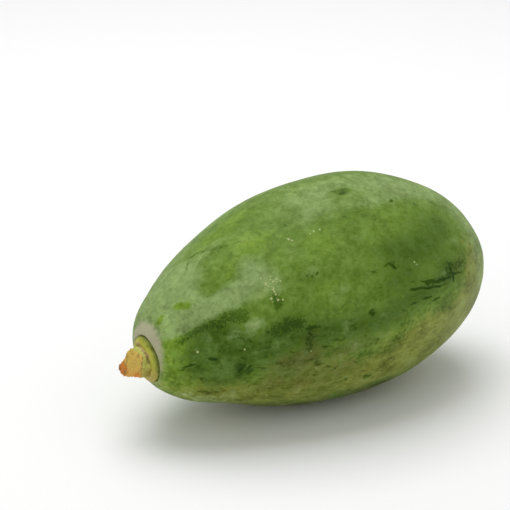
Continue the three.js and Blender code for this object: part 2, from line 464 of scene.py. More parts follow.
NICKS = [
    ((15.5, 146.6), (20, 146.2), 1.2, 0.7),
    ((19.3, 146.3), (22.6, 149.8), 1.5, 1.0),
    ((4, 146.3), (10, 148.3), 1.5, 0.6),
    ((-1.5, 165.5), (1.5, 168), 1.7, 1.0),
    ((-2, 166.5), (1, 165), 1.4, 0.9),
    ((-40, 164), (-31, 165.5), 1.7, 0.8),
    ((-39, 166), (-36, 171), 1.3, 0.7),
    ((-36, 190), (-30, 189), 1.4, 0.6),
    ((-2, 208), (3, 210), 2.0, 0.9),
    ((-78, 187), (-74, 181), 1.8, 0.9),
    ((-73, 186), (-71, 182), 1.5, 0.9),
    ((-105.5, 177), (-99, 173), 1.1, 0.9),
    ((-107, 181.5), (-104, 178.5), 1.0, 0.7),
    ((-93, 169), (-88.5, 172), 1.7, 0.9),
    ((-97, 214), (-92, 213), 1.5, 0.7),
    ((-91, 212), (-86, 212), 1.5, 0.7),
    ((43.5, 114), (46.5, 113), 1.7, 0.9),
    ((15, 98.5), (23, 98), 1.6, 0.4),
    ((96, 154), (101, 153), 1.0, 0.4),
    ((-17, 209), (-12, 206), 1.2, 0.6),
    ((-53, 142), (-51.5, 146), 0.9, 0.6),
    ((-50, 146), (-48, 148), 0.8, 0.6),
    ((-58, 160), (-55, 157), 1.4, 0.6),
    ((-66, 170), (-60, 171), 1.2, 0.5),
    ((-48, 161), (-44, 160), 1.4, 0.7),
    ((-26, 139), (-23, 137), 1.3, 0.6),
    ((-27, 106), (-21, 106), 1.3, 0.5),
    ((18, 181), (19, 188), 1.0, 0.4),
    ((-9, 187), (-6, 190), 1.0, 0.4),
]
FOLD = [
    ((-84, 90), (-79, 84), 2.0, 0.3),
    ((-79, 84), (-76, 79), 2.0, 0.35),
    ((-76.5, 79), (-71, 81), 2.0, 0.4),
    ((-71.5, 80.5), (-64, 91), 2.0, 0.45),
    ((-65, 90), (-57, 96), 2.0, 0.45),
    ((-58, 95.5), (-50, 99), 1.8, 0.3),
    ((-62, 79.5), (-55, 79), 1.8, 0.3),
    ((-56, 79), (-47, 81), 1.8, 0.3),
    ((-47, 81), (-36, 88), 1.6, 0.25),
]
SCUFFS = SCRATCHES + NICKS + FOLD
print(len(SCUFFS), "scuffs")

# %% Depth of the scuffs at any place
WAVE = 0.2
FINE_WAVE = 0.12
WIDTH_AT_TIPS = 0.3


def wobbled(places):
    """The places moved up to a third of a millimetre by waves, so that no stroke is straight."""
    x, y, z = places.T
    up = WAVE * np.sin(0.53 * x + 1.3 * y + 0.3) + FINE_WAVE * np.sin(1.37 * x + 2.9 * z + 1.7)
    out = WAVE * np.sin(0.71 * x + 1.1 * z + 4.2)
    return places + np.stack((0 * x, out, up), axis=1)


def scuff_depths(places, strokes, wider=0.0):
    """For an array of places in fruit mm: the strongest stroke there, widest in its middle."""
    places = wobbled(places)
    deepest = np.zeros(len(places))
    for start, end, half_width, strength in strokes:
        foot = np.array(on_skin(*start))
        run = np.array(on_skin(*end)) - foot
        share = np.clip((places - foot) @ run / (run @ run), 0, 1)
        off = np.linalg.norm(places - foot - share[:, None] * run, axis=1)
        bulge = 2 * np.sqrt(share * (1 - share))
        reach = half_width * (WIDTH_AT_TIPS + (1 - WIDTH_AT_TIPS) * bulge) + wider
        deepest = np.maximum(deepest, strength * np.clip(1 - off / reach, 0, 1))
    return deepest


def vertex_places(mesh):
    """Every vertex's place, in the fruit's frame and in mm."""
    flat = np.empty(len(mesh.vertices) * 3)
    mesh.vertices.foreach_get("co", flat)
    return in_fruit_mm(flat.reshape(-1, 3))


print("the skin has", len(vertex_places(skin.data)), "vertices before it is cut finer")

# %% Finer faces along the scuffs, and the grooves themselves
CUTS = 2
BESIDE_SCUFF = 1.2
GROOVE = 0.16 * MM

near_scuff = scuff_depths(vertex_places(skin.data), SCUFFS, BESIDE_SCUFF) > 0
shell = bmesh.new()
shell.from_mesh(skin.data)
crossed = [edge for edge in shell.edges if all(near_scuff[v.index] for v in edge.verts)]
bmesh.ops.subdivide_edges(shell, edges=crossed, cuts=CUTS, use_grid_fill=True)
shell.normal_update()
shell.verts.ensure_lookup_table()
places = in_fruit_mm(np.array([v.co for v in shell.verts]))
scuff_depth = scuff_depths(places, SCUFFS)
for vertex, depth in zip(shell.verts, scuff_depth):
    if depth > 0:
        vertex.co -= vertex.normal * (GROOVE * depth)
shell.to_mesh(skin.data)
shell.free()
print("skin has", sum(len(p.vertices) - 2 for p in skin.data.polygons), "triangles with its scuffs")

# %% [markdown]
# ## Where the colours lie
# A green papaya is lighter and waxy where the bloom is whole, deep green where it is rubbed
# off, and olive where it begins to turn. These areas are large and soft, so each is a sum of
# humps on the skin, kept as a number at every vertex. The finish then breaks their
# edges up with noise. The places, in mm along the core and degrees around it, are read off
# the photograph, and the amounts are set by comparing renders with it.
# The bloom humps round the stalk also paint a sheen, and some deep humps paint a shade band along the
# side.

# %% Soft areas as vertex attributes
along, across_core, above_core = vertex_places(skin.data).T
around = np.degrees(np.arctan2(above_core, across_core))
from_core_mm = np.hypot(across_core, above_core)


def keep(piece, name, values):
    """Keeps a number for every vertex of a piece, for its finish or a scatter tree to read."""
    layer = piece.data.attributes.new(name, "FLOAT", "POINT")
    layer.data.foreach_set("value", values.astype(np.float32))
    print(name, "goes from", round(values.min(), 2), "to", round(values.max(), 2))


def humps_at_vertices(humps):
    """A sum of soft humps on the skin: (x, around, reach along, reach across, amount)."""
    summed = np.zeros(len(along))
    for x, turn, reach_along, reach_across, amount in humps:
        aside = np.radians((around - turn + 180) % 360 - 180) * from_core_mm
        summed += amount * np.exp(-(((along - x) / reach_along) ** 2) - (aside / reach_across) ** 2)
    return summed


BLOOM_AND_SHEEN = [
    # pale bloom round the stalk, and in smears above the deep green; round the stalk it is also a painted
    # sheen
    (-104, 97, 12, 13, 0.9),
    (-98, 78, 20, 22, 0.8),
    (-88, 126, 14, 7, 1.0),
    (-100, 126, 7, 6, 0.6),
    (-96, 120, 9, 14, 0.5),
    (-70, 129, 11, 8, 0.95),
    (-66, 153, 7, 4, 0.62),
    (-72, 160, 4, 3, 0.4),
    (-56, 120, 8, 12, 0.75),
    (-48, 132, 7, 12, 0.5),
    (-88, 92, 16, 14, 0.5),
    (-62, 88, 12, 6, 0.35),
    (-30, 52, 50, 16, 0.5),
    # a thin pale streak here is a painted highlight
    (-76, 127, 9, 3, 0.3),
    # rubbed clear in small patches
    (-97, 108, 3, 3, -1.7),
    (-93, 115, 3.5, 3.5, -1.3),
    (-106, 104, 3.5, 3, -1.6),
    (-78, 119, 8, 5, -0.25),
    (-70, 111, 7, 4, -0.2),
    (19, 100, 7, 4, -0.5),
    # and worn off in the deep green, by the stalk and along the side
    (-106, 156, 8, 14, -0.5),
    (-98, 166, 12, 10, -0.4),
    (-86, 178, 14, 13, -0.55),
    (36, 168, 26, 7, -0.3),
    (28, 156, 22, 9, -0.2),
    # thin patches and small pale spots along the side
    (-26, 136, 7, 5, 0.45),
    (-4, 133, 9, 4, 0.35),
    (-16, 150, 8, 4, 0.4),
    (8, 128, 8, 4, 0.3),
    (-30, 122, 6, 5, 0.4),
    (12, 160, 9, 3, 0.3),
    (30, 128, 6, 4, 0.3),
    (72, 146, 6, 5, 0.35),
    (55.5, 160.6, 4, 1.5, 0.5),
    (50, 164.3, 4, 1.2, 0.5),
    (37, 151, 2.5, 1.2, 0.7),
    (-90.5, 153, 2, 3, 0.45),
    (-79, 156, 3.5, 2, 0.5),
    # along the top
    (0, 95, 28, 18, 0.6),
    (42, 95, 28, 17, 0.47),
    (62, 104, 20, 12, 0.85),
    (30, 112, 20, 5, 0.4),
    (-8, 108, 14, 6, 0.3),
    # the blossom end
    (90, 106, 14, 18, 0.8),
    (102, 158, 12, 34, 0.95),
    (98, 163, 10, 13, 0.35),
    (104, 20, 14, 40, 0.6),
    # the far side and under
    (0, 40, 60, 24, 0.6),
    (-40, 350, 44, 26, 0.6),
    (44, 335, 40, 26, 0.6),
    (-88, 325, 22, 26, 0.6),
    (16, 285, 46, 18, 0.35),
    # a smudge low down near the stalk
    (-88, 230, 18, 8, 0.75),
]
DEEP_GREEN_AND_SHADE = [
    # below the shoulder at the stalk's end
    (-87, 162, 13, 19, 1.0),
    (-97, 172, 8, 8, 0.5),
    (-98, 190, 12, 10, 0.2),
    (-76, 176, 12, 14, 0.65),
    # these two, at 170 degrees, are painted shade too, where the band along the side begins
    (-56, 170, 14, 10, 0.7),
    (-28, 170, 18, 9, 0.7),
    (-84, 186, 11, 9, 0.5),
    (-46, 158, 12, 8, 0.45),
    # a little where the bloom is thin above it
    (-76, 116, 8, 8, 0.25),
    # painted shade: the dark band along the side, where the skin turns from facing up to facing the side
    (4, 172, 22, 8, 0.6),
    (36, 166, 22, 6, 0.6),
    (22, 156, 16, 7, 0.45),
    (60, 160, 10, 8, 0.6),
    # towards the blossom end, where the bloom is gone
    (42, 144, 28, 11, 0.65),
    (58, 130, 22, 12, 0.32),
    (22, 138, 12, 8, 0.3),
    (70, 134, 9, 8, 0.3),
    # spots along the top
    (19, 101, 6, 3, 0.6),
    (21, 118, 3.5, 2.5, 0.6),
    (10, 114, 4, 2.5, 0.5),
    (57, 111, 5, 2.5, 0.4),
    (60, 118, 3, 3, 0.4),
    (-8, 108, 4, 3, 0.3),
    # guessed on the far side
    (-34, 20, 24, 16, 0.6),
    (52, 8, 26, 14, 0.6),
    (10, 312, 24, 14, 0.5),
    (-84, 350, 14, 22, 0.5),
]
OLIVE = [
    # beginning to turn, along the lower side
    (44, 190, 34, 13, 0.95),
    (84, 186, 16, 22, 0.9),
    (92, 166, 15, 20, 0.7),
    (14, 204, 24, 16, 0.8),
    (60, 212, 26, 16, 0.8),
    (-30, 212, 44, 16, 0.7),
    (-84, 222, 34, 18, 0.7),
    (-34, 190, 20, 10, 0.4),
    (0, 262, 60, 24, 0.8),
    (64, 250, 30, 30, 0.7),
    (-70, 272, 30, 24, 0.6),
]
BROWN = [
    # dull and brownish among the olive, and in a few spots higher up
    (-34, 200, 24, 12, 0.5),
    (-64, 206, 18, 12, 0.4),
    (-8, 194, 14, 8, 0.3),
    (-90, 214, 10, 6, 0.4),
    (-34, 237, 34, 8, 0.9),
    (12, 226, 20, 7, 0.9),
    (-37, 173, 8, 7, 0.5),
    (-48, 184, 16, 8, 0.7),
    (70, 160, 7, 7, 0.6),
    (-88, 143, 12, 6, 0.35),
    (-14, 182, 22, 6, 0.5),
    (19, 99, 8, 4, 0.35),
    (-38, 168, 5, 4, 0.6),
]
LEAF = [
    # the brighter, yellower green
    (-110, 152, 6, 26, 1.4),
    (-106, 142, 5, 6, 0.6),
    (-106, 222, 9, 14, 0.9),
    (-106, 192, 9, 16, 1.0),
    (-97, 108, 4, 4, 1.0),
    (-93, 115, 4, 4, 1.0),
    (-107, 103, 4, 3, 1.0),
    (-46, 105, 14, 9, 0.9),
    (-66, 112, 8, 8, 0.5),
    (-12, 124, 18, 12, 0.55),
    (-22, 148, 18, 7, 0.6),
    (-50, 82, 26, 10, 0.6),
    (20, 184, 20, 8, 0.5),
    (-30, 60, 30, 18, 0.4),
]
BLOTCHES = [
    # along the edge of the bloom, below the shoulder
    (-103, 144, 5, 3, 0.5),
    (-97, 140, 4, 3, 0.75),
    (-89, 139, 6, 3.5, 0.6),
    (-77, 141, 7, 3.5, 0.85),
    (-71, 145, 4, 3.5, 0.8),
    (-86, 149, 5, 2.5, 0.35),
    (-83, 143, 3, 2.5, 0.5),
    (-93, 141, 2.5, 2, 0.5),
    # mottled clusters lower down
    (-77, 184, 3, 7, 0.9),
    (-72, 188, 3, 3, 0.6),
    (-63, 176, 6, 2.5, 0.5),
    (-58, 160, 4, 4, 0.6),
    (-51, 160, 5, 5, 0.9),
    (-43, 160, 4, 4, 0.8),
    (-35, 165, 5, 2.5, 1.0),
    (-39, 174, 2, 6, 0.95),
    (-34, 188, 3, 4, 0.7),
    (-51, 144, 3, 6, 0.95),
    (-30, 138, 6, 3, 0.75),
    (-92, 213, 6, 3, 0.9),
    (-16, 208, 4, 2, 0.6),
    (1, 209, 3.5, 3, 0.7),
    (14, 225, 8, 4, 0.8),
    (-10, 194, 3, 2, 0.5),
    # singly, towards the blossom end
    (20, 147, 5, 3, 0.6),
    (8, 148, 4, 2, 0.4),
    (0, 167, 3, 3, 0.7),
    (62, 158, 5, 4, 0.5),
    (73, 159.5, 7, 5, 0.75),
    (48, 162.5, 12, 2.5, 0.6),
    (38, 169, 6, 2, 0.5),
    (15, 98, 3.5, 1.8, 0.8),
    (22, 99.5, 4, 2, 0.8),
    (18, 101.5, 2.5, 1.5, 0.6),
    (57, 113, 4, 2, 0.5),
    (26, 121, 4, 3, 0.6),
    (8, 116, 4, 1.6, 0.5),
    (-24, 106, 4, 2, 0.6),
    (98, 154, 5, 2.5, 0.5),
    # guessed on the far side
    (30, 20, 5, 3, 0.8),
    (-60, 10, 6, 4, 0.8),
    (60, 330, 6, 5, 0.8),
    (-20, 330, 5, 3, 0.7),
]

for name, humps in (
    ("bloom_and_sheen", BLOOM_AND_SHEEN),
    ("deep_green_and_shade", DEEP_GREEN_AND_SHADE),
    ("olive", OLIVE),
    ("brown", BROWN),
    ("leaf", LEAF),
    ("blotches", BLOTCHES),
):
    keep(skin, name, humps_at_vertices(humps))
keep(skin, "scuffs", scuff_depth)

# %% The pale ring round the stalk's basin, widest on top, and the flower's scar at the other end
RING_RADIUS = 16.0
WIDER_ON_TOP = 6.0
RING_SOFTNESS = 5.0
RING_TURN = 92
RING_UNDERNEATH = 0.4
RING_STARTS = 104
RING_FADES_OVER = 6
SCAR_RADIUS = 5.5
PETALS = 5
PETAL_DEPTH = 0.22
PETAL_TURN = 20

on_top = (0.5 + 0.5 * np.cos(np.radians(around - RING_TURN))) ** 2
past_ring = np.clip((RING_RADIUS + WIDER_ON_TOP * on_top - from_core_mm) / RING_SOFTNESS + 0.5, 0, 1)
stalk_end = np.clip((-along - RING_STARTS) / RING_FADES_OVER, 0, 1)
blossom_end = along > 0
petal_round = 1 + PETAL_DEPTH * np.cos(np.radians(PETALS * around + PETAL_TURN))
keep(skin, "scar", blossom_end * np.clip(1 - from_core_mm * petal_round / SCAR_RADIUS, 0, 1))
keep(skin, "ring", past_ring * stalk_end * (RING_UNDERNEATH + (1 - RING_UNDERNEATH) * on_top))

# %% [markdown]
# ## The skin's finish
# Paint that follows a grown skin is built up as the skin is: a base green, soft areas of
# deeper green, with a painted shade band along the side, and of olive green, the pale bloom
# over them, with a painted sheen in it round the stalk, then streaks, mottle and single scuffs.
# An image would fix one resolution, so every layer is a procedural mask. They all read Object
# coordinates, turned into the fruit's own frame and into millimetres, so that a noise's scale
# of 1 / 6 means features 6 mm wide. Each fade has two numbers: where its mask is 0 and 1.

# %% Colours and shader helpers
def colour(red, green, blue):
    """A linear colour from the 0 to 255 values that a picture shows."""
    shares = [level / 255 for level in (red, green, blue)]
    return (*(s / 12.92 if s <= 0.04045 else ((s + 0.055) / 1.055) ** 2.4 for s in shares), 1)


def fruit_mm(tree):
    """Object coordinates in the fruit's own frame, in millimetres."""
    mapping = add(tree, "ShaderNodeMapping", vector_type="TEXTURE")
    feed(tree, mapping.inputs["Vector"], add(tree, "ShaderNodeTexCoord").outputs["Object"])
    feed(tree, mapping.inputs["Location"], CORE_MIDDLE)
    feed(tree, mapping.inputs["Rotation"], (0, -DIP, 0))
    feed(tree, mapping.inputs["Scale"], (MM, MM, MM))
    return mapping.outputs[0]


def layered(tree, under, over, share):
    """A colour mixed from two: all of the first where share is 0, all of the second where it is 1."""
    return add(tree, "ShaderNodeMix", data_type="RGBA", in0=share, in6=under, in7=over).outputs[2]


def mixed(tree, first, second, share):
    """A number mixed from two in the same way."""
    return add(tree, "ShaderNodeMix", data_type="FLOAT", in0=share, in2=first, in3=second).outputs[0]


def stored(tree, name):
    """A number that is kept at the mesh's vertices."""
    return add(tree, "ShaderNodeAttribute", attribute_name=name).outputs["Fac"]


print("mid grey is", round(colour(128, 128, 128)[0], 3), "as a linear colour")

# %% The skin's colours and its noises
GREEN = colour(100, 130, 43)
DEEP_GREEN = colour(60, 90, 12)
OLIVE_GREEN = colour(128, 136, 54)
BROWN_GREEN = colour(86, 86, 36)
LEAF_GREEN = colour(114, 146, 42)
BLOOM_GREEN = colour(145, 166, 110)
RING = colour(178, 172, 146)
SCAR_BROWN = colour(104, 88, 56)
SCUFF_TINT = (0.25, 0.38, 0.0)

# millimetres above the core: the skin has no wear at the first and full wear at the second
WEAR_ABOVE = (42.0, -5.0)


def patches(tree, vector, scale, low=0.36, high=0.64, distortion=0.3):
    """A noise pushed towards 0 and 1, which makes patches with an edge rather than a haze."""
    return fade(tree, noise(tree, vector, scale, 3.0, 0.55, distortion), low, high)


tree = skin_nodes
place = fruit_mm(tree)
apart = add(tree, "ShaderNodeSeparateXYZ", in0=place)
x_mm = apart.outputs[0]
smeared = vector_maths(tree, "MULTIPLY", place, (0.5, 1, 1))
drawn_out = vector_maths(tree, "MULTIPLY", place, (0.13, 1, 1))
elsewhere = vector_maths(tree, "ADD", place, (70, 30, 50))

wear = fade(tree, apart.outputs[2], *WEAR_ABOVE)
mottle = noise(tree, elsewhere, 1 / 15, detail=5.0, roughness=0.62)
smears = patches(tree, place, 1 / 6)
flecks = patches(tree, elsewhere, 1 / 2.4, 0.32, 0.68)
streaks = patches(tree, drawn_out, 1 / 2.0, 0.3, 0.7, distortion=0.2)
dashes = noise(tree, smeared, 1 / 2.6, detail=2.0, distortion=0.5)
print("the skin's shader has", len(tree.nodes), "nodes with its noises")

# %% The soft areas, one over the other
# the share of the edges' raggedness without wear and with full wear
EDGES_BY_WEAR = (0.32, 1.0)


def ragged(tree, name, roughening, low, high):
    """A stored area's value with its edge broken up by a noise, as a mask."""
    return fade(tree, maths(tree, "ADD", stored(tree, name), roughening), low, high)


coarse_edge = total(tree, swing(tree, smears, 0.3), swing(tree, mottle, 1.5), swing(tree, flecks, 0.16))
coarse_edge = maths(tree, "MULTIPLY", coarse_edge, mixed(tree, *EDGES_BY_WEAR, wear))
soft_edge = total(tree, swing(tree, mottle, 1.5), swing(tree, flecks, 0.16))
# the bloom mask is partly real bloom and partly a painted sheen round the stalk
bloom_and_sheen = ragged(tree, "bloom_and_sheen", coarse_edge, 0.12, 0.85)
# the deep mask is deep green and also a painted shade band along the side
deep_green_and_shade = ragged(tree, "deep_green_and_shade", coarse_edge, 0.1, 0.8)
olive = ragged(tree, "olive", soft_edge, 0.15, 0.85)
brown = ragged(tree, "brown", soft_edge, 0.15, 0.85)
leaf = ragged(tree, "leaf", coarse_edge, 0.2, 0.9)

# the deep green layer also paints a shade band along the side, and the bloom layer a sheen round the stalk
skin_colour = GREEN
for over, share, most in (
    (LEAF_GREEN, leaf, 0.8),
    (OLIVE_GREEN, olive, 0.9),
    (BROWN_GREEN, brown, 0.75),
    (DEEP_GREEN, deep_green_and_shade, 0.85),
    (BLOOM_GREEN, smears, 0.07),
    (BLOOM_GREEN, bloom_and_sheen, 0.62),
):
    skin_colour = layered(tree, skin_colour, over, maths(tree, "MULTIPLY", share, most))
print("the skin's shader has", len(tree.nodes), "nodes with its soft areas")

# %% Mottle and streaks, stronger low down and near the stalk, then the corky ring and the scar
# strengths, first without wear and then with full wear
FLECKS_BY_WEAR = (0.2, 0.3)
DASHES_BY_WEAR = (-0.12, -0.34)
MOTTLE_BY_WEAR = (0.75, 1.8)
# strength of the streaks at mid core and by the stalk, and where along the core that is
STREAKS_ALONG = (0.12, 0.24)
MID_TO_STALK = (0.0, -90.0)
HAZE = (0.025, 0.025, 0.025)

near_stalk = fade(tree, x_mm, *MID_TO_STALK)
streak_strength = maths(tree, "MULTIPLY", wear, mixed(tree, *STREAKS_ALONG, near_stalk))
streaky = swing(tree, streaks, streak_strength)
flecky = swing(tree, flecks, mixed(tree, *FLECKS_BY_WEAR, wear))
dashed = maths(tree, "MULTIPLY", fade(tree, dashes, 0.6, 0.7), mixed(tree, *DASHES_BY_WEAR, wear))
pale_dots = maths(tree, "MULTIPLY", fade(tree, dashes, 0.34, 0.26), 0.18)
mottled = swing(tree, mottle, mixed(tree, *MOTTLE_BY_WEAR, wear))
shade = total(tree, mottled, swing(tree, smears, 0.13), flecky, streaky, dashed, pale_dots)
skin_colour = scaled(tree, skin_colour, maths(tree, "ADD", shade, 1.0))
haze = scaled(tree, HAZE, shade)
skin_colour = vector_maths(tree, "MAXIMUM", vector_maths(tree, "ADD", skin_colour, haze), (0, 0, 0))
ring_mask = ragged(tree, "ring", swing(tree, flecks, 0.2), 0.1, 0.9)
skin_colour = layered(tree, skin_colour, RING, maths(tree, "MULTIPLY", ring_mask, 0.8))
scar_mask = ragged(tree, "scar", swing(tree, flecks, 0.12), 0.12, 0.45)
skin_colour = layered(tree, skin_colour, SCAR_BROWN, maths(tree, "MULTIPLY", scar_mask, 0.85))
print("the skin's shader has", len(tree.nodes), "nodes with its mottle")

# %% Blotches and scuffs, ragged and a little broken
BLOTCH_DARKNESS = 0.78

grit = noise(tree, place, 1 / 1.2, detail=2.0)
blotch_edge = total(tree, swing(tree, flecks, 0.7), swing(tree, grit, 1.6), swing(tree, mottle, 1.6))
blotch_mask = ragged(tree, "blotches", blotch_edge, 0.25, 0.85)
blotch_mask = maths(tree, "MULTIPLY", blotch_mask, fade(tree, stored(tree, "blotches"), 0.05, 0.4))
scuff_edge = total(tree, swing(tree, streaks, 0.3), swing(tree, flecks, 0.35), swing(tree, mottle, 0.5))
scuff_mask = ragged(tree, "scuffs", scuff_edge, 0.04, 0.7)
scuff_mask = maths(tree, "MULTIPLY", scuff_mask, fade(tree, stored(tree, "scuffs"), 0.0, 0.3))
dark = maths(tree, "MAXIMUM", maths(tree, "MULTIPLY", blotch_mask, BLOTCH_DARKNESS), scuff_mask)
darkened = vector_maths(tree, "MULTIPLY", skin_colour, SCUFF_TINT)
skin_colour = layered(tree, skin_colour, darkened, dark)
feed(tree, skin_surface.inputs["Base Color"], skin_colour)
print("the skin's shader has", len(tree.nodes), "nodes with its dark marks")

# %% The skin's shine and fine relief
RUBBED_ROUGHNESS = 0.45
BLOOM_ROUGHNESS = 0.62
MARK_ROUGHNESS = 0.6
BUMP_DISTANCE = 0.0003
BUMP_STRENGTH = 0.6

roughness = mixed(tree, RUBBED_ROUGHNESS, BLOOM_ROUGHNESS, bloom_and_sheen)
roughness = maths(tree, "ADD", roughness, swing(tree, flecks, 0.06))
feed(tree, skin_surface.inputs["Roughness"], mixed(tree, roughness, MARK_ROUGHNESS, dark))
skin_surface.inputs["Specular IOR Level"].default_value = 0.1

pores = noise(tree, place, 1 / 0.9, detail=2.0)
relief = total(tree, swing(tree, pores, 1.0), swing(tree, flecks, 0.3))
bump = add(tree, "ShaderNodeBump")
feed(tree, bump.inputs["Distance"], BUMP_DISTANCE)
feed(tree, bump.inputs["Strength"], BUMP_STRENGTH)
feed(tree, bump.inputs["Height"], relief)
feed(tree, skin_surface.inputs["Normal"], bump.outputs[0])
print("the skin's shader has", len(tree.nodes), "nodes in all")

# %% [markdown]
# ## Specks of dried latex
# Where a papaya's skin is pricked, its white latex seeps out and dries in small pale beads.
# Most of them sit in one cluster above the deep green, the rest singly. Beads this small could
# be painted, but they catch light of their own, so a Geometry Nodes tree scatters low domes on
# the skin, as densely as a number kept at its vertices says, each sunk by half its height.

# %% Where the latex seeped out
SEEPS = [
    (-51.5, 131, 2.5, 2.5, 1.0),
    (-54, 130.5, 1.5, 1.5, 0.6),
    (-51, 136.5, 2.0, 3.0, 1.0),
    (-51, 141, 1.5, 2.5, 0.8),
    (-50, 146.5, 1.5, 2.0, 0.6),
    (-47, 134, 3.0, 1.5, 0.5),
    (-64.5, 157, 1.5, 1.2, 1.0),
    (-92.5, 153.5, 1.5, 1.2, 0.7),
    (-98.5, 160, 1.2, 1.2, 0.7),
    (-78.5, 197, 1.2, 1.2, 0.6),
    (37, 151, 1.5, 1.2, 0.7),
    (-38.5, 178.5, 1.2, 1.2, 0.6),
    (9, 194, 1.2, 1.2, 0.6),
    (-27, 115.5, 3.0, 1.2, 0.5),
    (-11.5, 117.5, 3.0, 1.2, 0.4),
]
EVERYWHERE = 0.0012
keep(skin, "latex", humps_at_vertices(SEEPS) + EVERYWHERE)

# %% Scatter tree: small shapes on a surface, as densely as a stored number says
def scatter_tree(name, density_name, sizes, make_shape):
    """A tree that puts a small unit shape on a surface, leaning out along its normal."""
    tree, given, result = new_tree(name, sizes)
    density = add(tree, "GeometryNodeInputNamedAttribute", data_type="FLOAT", in0=density_name).outputs[0]
    scatter = add(tree, "GeometryNodeDistributePointsOnFaces", in0=given["Geometry"], in6=given["Seed"])
    feed(tree, scatter.inputs["Density"], maths(tree, "MULTIPLY", density, given["Most per square metre"]))
    seed = given["Seed"]
    random = add(tree, "FunctionNodeRandomValue", in2=given["Smallest"], in3=given["Largest"], in8=seed)
    radius = random.outputs[1]
    tall = maths(tree, "MULTIPLY", radius, given["Height share"])
    scale = add(tree, "ShaderNodeCombineXYZ", in0=radius, in1=radius, in2=tall)
    lean = add(tree, "FunctionNodeRandomValue", data_type="FLOAT_VECTOR", in8=seed)
    feed(tree, lean.inputs[0], (-1, -1, -1))
    feed(tree, lean.inputs[1], (1, 1, 1))
    turned = add(tree, "FunctionNodeRotateRotation", rotation_space="LOCAL")
    feed(tree, turned.inputs[0], scatter.outputs["Rotation"])
    feed(tree, turned.inputs[1], scaled(tree, lean.outputs[0], given["Lean"]))
    placed = add(tree, "GeometryNodeInstanceOnPoints", in0=scatter.outputs["Points"], in2=make_shape(tree))
    feed(tree, placed.inputs["Rotation"], turned.outputs[0])
    feed(tree, placed.inputs["Scale"], scale.outputs[0])
    end_tree(tree, placed.outputs[0], given["Finish"], result)
    return tree


def bead(tree):
    """A sphere of radius 1, of 8 segments and 5 rings."""
    return add(tree, "GeometryNodeMeshUVSphere", in0=8, in1=5, in2=1.0).outputs[0]


def thorn(tree):
    """A cone of 5 sides, 1 high, with radius 1 at its foot and 0.1 at its tip."""
    return add(tree, "GeometryNodeMeshCone", in0=5, in3=0.1, in4=1.0, in5=1.0).outputs[0]


print("scatter tree is ready")

# %% The beads of latex, whose smallest and largest are their radii in metres
bead_sizes = {
    "Most per square metre": ("Float", 260000.0),
    "Smallest": ("Float", 0.0002),
    "Largest": ("Float", 0.0009),
    "Height share": ("Float", 0.3),
    "Lean": ("Float", 0.1),
    "Seed": ("Int", 4),
}
latex_finish, _, latex_surface = new_material("dried_latex")
latex_surface.inputs["Base Color"].default_value = colour(164, 180, 112)
latex_surface.inputs["Roughness"].default_value = 0.5
bead_tree = scatter_tree("latex_beads", "latex", bead_sizes, bead)
latex_specks = grow(skin, bead_tree, "latex_specks", latex_finish)

# %% [markdown]
# ## The stalk
# When a papaya is twisted off, a stub of stalk stays on it: a ring of calyx round its foot,
# a short neck, and a face where the fibres tore. The solid has its form. As on the skin, a
# finer copy takes relief from a Geometry Nodes tree: ridges that run along the stub, and
# lumps that make the torn face uneven. Both fade out towards the foot. There the calyx swells
# a little, unevenly, so that it closes on the basin as a grown one does.

# %% The stalk's relief
BREAK_MIDDLE = -125.4
BREAK_TILT = math.tan(math.radians(26))
BREAK_SHORT_SIDE = math.radians(153)
# millimetres: the depth below the break where the face ends and is whole, then places along the core
FACE_DEPTH = (2.2, 0.6)
RELIEF_ALONG = (-114.0, -118.0)
SWELL_ALONG = (-117.2, -115.0)
# metres: how wide the uneven parts of the swelling are
SWELL_UNEVENNESS = 0.006


def depth_below_break(tree, apart):
    """Millimetres from the slanting plane of the break towards the fruit."""
    across = maths(tree, "MULTIPLY", apart.outputs[1], BREAK_TILT * math.cos(BREAK_SHORT_SIDE))
    up = maths(tree, "MULTIPLY", apart.outputs[2], BREAK_TILT * math.sin(BREAK_SHORT_SIDE))
    level = maths(tree, "SUBTRACT", maths(tree, "SUBTRACT", apart.outputs[0], across), up)
    return maths(tree, "SUBTRACT", level, BREAK_MIDDLE)


